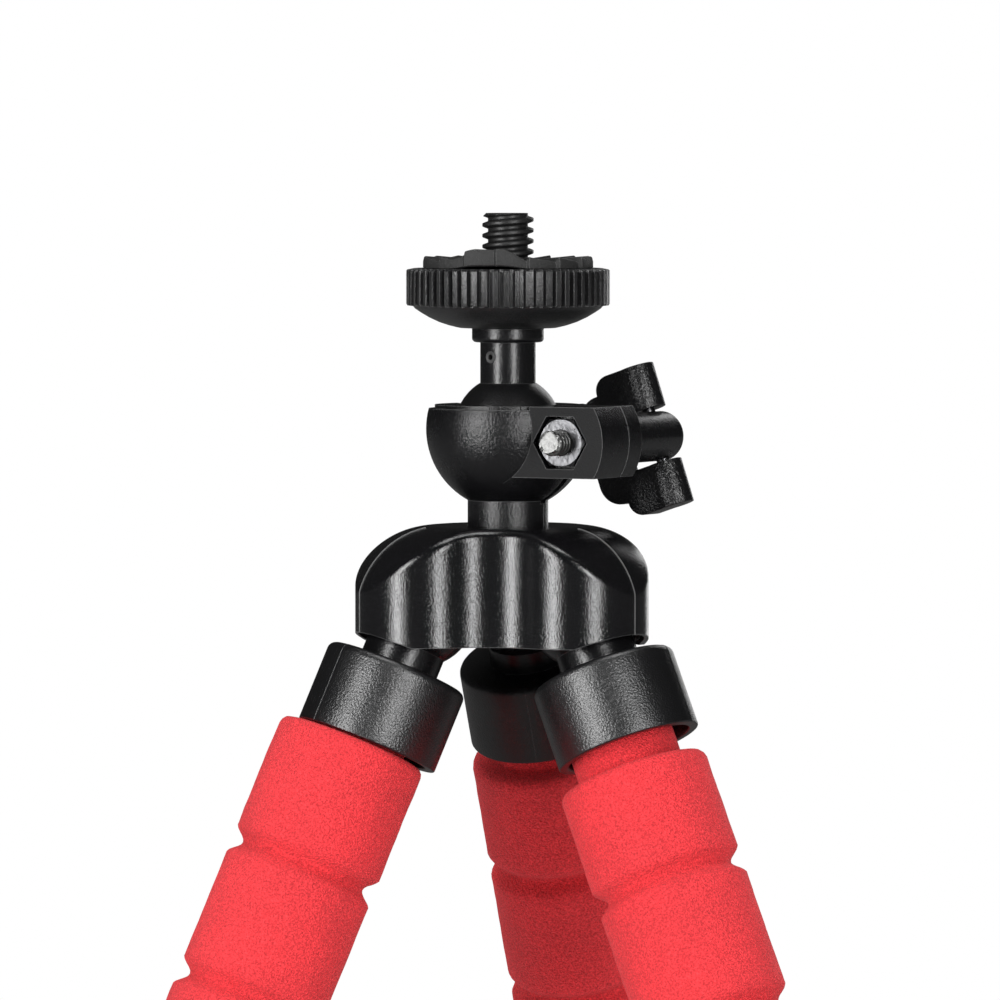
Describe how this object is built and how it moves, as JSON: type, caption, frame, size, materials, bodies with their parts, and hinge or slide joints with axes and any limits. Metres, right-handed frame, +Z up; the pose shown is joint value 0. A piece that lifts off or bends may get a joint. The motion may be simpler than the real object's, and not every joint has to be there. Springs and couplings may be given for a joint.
{
  "type": "mini camera tripod",
  "caption": "Table-top camera tripod: ball head with a 1/4-20 camera screw and lock wheel, and bendable foam-covered legs on a lobed hub.",
  "frame": {"origin": "on the camera screw's axis at the camera seat, the top of the rubber pad", "axes": "+Z up along the camera screw, +Y over the back leg, so the two front legs point to -Y left and right"},
  "size_m": [0.1778, 0.1544, 0.2348],
  "materials": {
    "satin_black_plastic": "satin",
    "gloss_black_plastic": "gloss",
    "black_screw_steel": "satin",
    "steel": "satin",
    "black_rubber": "matte",
    "red_foam": "matte",
    "core_wire": "satin"
  },
  "bodies": {
    "hub": {"hub_shell": "gloss_black_plastic", "hub_base": "gloss_black_plastic", "hub_screws": "steel", "socket_half_front": "satin_black_plastic", "socket_half_rear": "satin_black_plastic", "clamp_nut": "steel"},
    "clamp_knob": {"clamp_screw": "steel", "knob_barrel": "gloss_black_plastic", "knob_pin": "steel"},
    "knob_lever": {"knob_handle": "satin_black_plastic"},
    "head_ball": {"ball": "satin_black_plastic"},
    "head": {"head_stem": "satin_black_plastic", "stem_pin": "black_screw_steel", "camera_screw": "black_screw_steel"},
    "wheel": {"lock_wheel": "gloss_black_plastic", "wheel_pad": "black_rubber"},
    "back_leg_ball": {"back_leg_stud": "gloss_black_plastic"},
    "back_leg_root": {"back_leg_cap": "gloss_black_plastic", "back_leg_wire_root": "core_wire"},
    "back_leg_1": {"back_leg_foam_1": "red_foam", "back_leg_wire_1": "core_wire"},
    "back_leg_2": {"back_leg_foam_2": "red_foam", "back_leg_wire_2": "core_wire"},
    "back_leg_3": {"back_leg_foam_3": "red_foam", "back_leg_wire_3": "core_wire"},
    "back_leg_4": {"back_leg_foam_4": "red_foam", "back_leg_wire_4": "core_wire"},
    "back_leg_5": {"back_leg_foam_5": "red_foam", "back_leg_wire_5": "core_wire", "back_leg_foot": "black_rubber"},
    "left_leg_ball": {"left_leg_stud": "gloss_black_plastic"},
    "left_leg_root": {"left_leg_cap": "gloss_black_plastic", "left_leg_wire_root": "core_wire"},
    "left_leg_1": {"left_leg_foam_1": "red_foam", "left_leg_wire_1": "core_wire"},
    "left_leg_2": {"left_leg_foam_2": "red_foam", "left_leg_wire_2": "core_wire"},
    "left_leg_3": {"left_leg_foam_3": "red_foam", "left_leg_wire_3": "core_wire"},
    "left_leg_4": {"left_leg_foam_4": "red_foam", "left_leg_wire_4": "core_wire"},
    "left_leg_5": {"left_leg_foam_5": "red_foam", "left_leg_wire_5": "core_wire", "left_leg_foot": "black_rubber"},
    "right_leg_ball": {"right_leg_stud": "gloss_black_plastic"},
    "right_leg_root": {"right_leg_cap": "gloss_black_plastic", "right_leg_wire_root": "core_wire"},
    "right_leg_1": {"right_leg_foam_1": "red_foam", "right_leg_wire_1": "core_wire"},
    "right_leg_2": {"right_leg_foam_2": "red_foam", "right_leg_wire_2": "core_wire"},
    "right_leg_3": {"right_leg_foam_3": "red_foam", "right_leg_wire_3": "core_wire"},
    "right_leg_4": {"right_leg_foam_4": "red_foam", "right_leg_wire_4": "core_wire"},
    "right_leg_5": {"right_leg_foam_5": "red_foam", "right_leg_wire_5": "core_wire", "right_leg_foot": "black_rubber"}
  },
  "joints": [
    {"name": "ball_tilt", "type": "hinge", "parent": "hub", "child": "head_ball", "pos_m": [0, 0, -0.0201], "axis": [-0.866, -0.5, 0], "range_deg": [-30, 90]},
    {"name": "head_turn", "type": "hinge", "parent": "head_ball", "child": "head", "pos_m": [0, 0, -0.0201], "axis": [0, 0, 1], "continuous": true},
    {"name": "lock_wheel_turn", "type": "hinge", "parent": "head", "child": "wheel", "pos_m": [0, 0, 0], "axis": [0, 0, 1], "continuous": true},
    {"name": "clamp_turn", "type": "hinge", "parent": "hub", "child": "clamp_knob", "pos_m": [0.00991, -0.00361, -0.0214], "axis": [0.342, 0.9397, 0], "continuous": true},
    {"name": "lever_fold", "type": "hinge", "parent": "clamp_knob", "child": "knob_lever", "pos_m": [0.01612, 0.01345, -0.0214], "axis": [-0.2982, 0.1085, 0.9483], "range_deg": [-206, 26]},
    {"name": "back_leg_swing", "type": "hinge", "parent": "hub", "child": "back_leg_ball", "pos_m": [0, 0.0112, -0.04175], "axis": [0.9703, -0.2419, 0], "range_deg": [-5, 10]},
    {"name": "back_leg_twist", "type": "hinge", "parent": "back_leg_ball", "child": "back_leg_root", "pos_m": [0, 0.0112, -0.04175], "axis": [0.0974, 0.3908, -0.9153], "range_deg": [-60, 60]},
    {"name": "back_leg_bend_1", "type": "hinge", "parent": "back_leg_root", "child": "back_leg_1", "pos_m": [0.00167, 0.01788, -0.0574], "axis": [0.9703, -0.2419, 0], "range_deg": [-6, 8]},
    {"name": "back_leg_bend_2", "type": "hinge", "parent": "back_leg_1", "child": "back_leg_2", "pos_m": [0.00491, 0.03088, -0.08785], "axis": [0.9703, -0.2419, 0], "range_deg": [-6, 22]},
    {"name": "back_leg_bend_3", "type": "hinge", "parent": "back_leg_2", "child": "back_leg_3", "pos_m": [0.00814, 0.04383, -0.11818], "axis": [0.9703, -0.2419, 0], "range_deg": [-6, 22]},
    {"name": "back_leg_bend_4", "type": "hinge", "parent": "back_leg_3", "child": "back_leg_4", "pos_m": [0.01136, 0.05678, -0.14851], "axis": [0.9703, -0.2419, 0], "range_deg": [-6, 22]},
    {"name": "back_leg_bend_5", "type": "hinge", "parent": "back_leg_4", "child": "back_leg_5", "pos_m": [0.01459, 0.06973, -0.17883], "axis": [0.9703, -0.2419, 0], "range_deg": [-6, 22]},
    {"name": "left_leg_swing", "type": "hinge", "parent": "hub", "child": "left_leg_ball", "pos_m": [-0.0097, -0.0056, -0.04175], "axis": [-0.5, 0.866, 0], "range_deg": [-5, 10]},
    {"name": "left_leg_twist", "type": "hinge", "parent": "left_leg_ball", "child": "left_leg_root", "pos_m": [-0.0097, -0.0056, -0.04175], "axis": [-0.3488, -0.2014, -0.9153], "range_deg": [-60, 60]},
    {"name": "left_leg_bend_1", "type": "hinge", "parent": "left_leg_root", "child": "left_leg_1", "pos_m": [-0.01701, -0.00982, -0.05672], "axis": [-0.5, 0.866, 0], "range_deg": [-6, 8]},
    {"name": "left_leg_bend_2", "type": "hinge", "parent": "left_leg_1", "child": "left_leg_2", "pos_m": [-0.02846, -0.01643, -0.08675], "axis": [-0.5, 0.866, 0], "range_deg": [-6, 22]},
    {"name": "left_leg_bend_3", "type": "hinge", "parent": "left_leg_2", "child": "left_leg_3", "pos_m": [-0.04012, -0.02316, -0.11736], "axis": [-0.5, 0.866, 0], "range_deg": [-6, 22]},
    {"name": "left_leg_bend_4", "type": "hinge", "parent": "left_leg_3", "child": "left_leg_4", "pos_m": [-0.05178, -0.02989, -0.14796], "axis": [-0.5, 0.866, 0], "range_deg": [-6, 22]},
    {"name": "left_leg_bend_5", "type": "hinge", "parent": "left_leg_4", "child": "left_leg_5", "pos_m": [-0.06344, -0.03663, -0.17856], "axis": [-0.5, 0.866, 0], "range_deg": [-6, 22]},
    {"name": "right_leg_swing", "type": "hinge", "parent": "hub", "child": "right_leg_ball", "pos_m": [0.0097, -0.0056, -0.04175], "axis": [-0.5, -0.866, 0], "range_deg": [-5, 10]},
    {"name": "right_leg_twist", "type": "hinge", "parent": "right_leg_ball", "child": "right_leg_root", "pos_m": [0.0097, -0.0056, -0.04175], "axis": [0.3488, -0.2014, -0.9153], "range_deg": [-60, 60]},
    {"name": "right_leg_bend_1", "type": "hinge", "parent": "right_leg_root", "child": "right_leg_1", "pos_m": [0.01503, -0.00868, -0.05772], "axis": [-0.5, -0.866, 0], "range_deg": [-6, 8]},
    {"name": "right_leg_bend_2", "type": "hinge", "parent": "right_leg_1", "child": "right_leg_2", "pos_m": [0.0269, -0.01553, -0.08887], "axis": [-0.5, -0.866, 0], "range_deg": [-6, 22]},
    {"name": "right_leg_bend_3", "type": "hinge", "parent": "right_leg_2", "child": "right_leg_3", "pos_m": [0.03836, -0.02215, -0.11894], "axis": [-0.5, -0.866, 0], "range_deg": [-6, 22]},
    {"name": "right_leg_bend_4", "type": "hinge", "parent": "right_leg_3", "child": "right_leg_4", "pos_m": [0.04982, -0.02876, -0.14902], "axis": [-0.5, -0.866, 0], "range_deg": [-6, 22]},
    {"name": "right_leg_bend_5", "type": "hinge", "parent": "right_leg_4", "child": "right_leg_5", "pos_m": [0.06128, -0.03538, -0.17909], "axis": [-0.5, -0.866, 0], "range_deg": [-6, 22]}
  ]
}
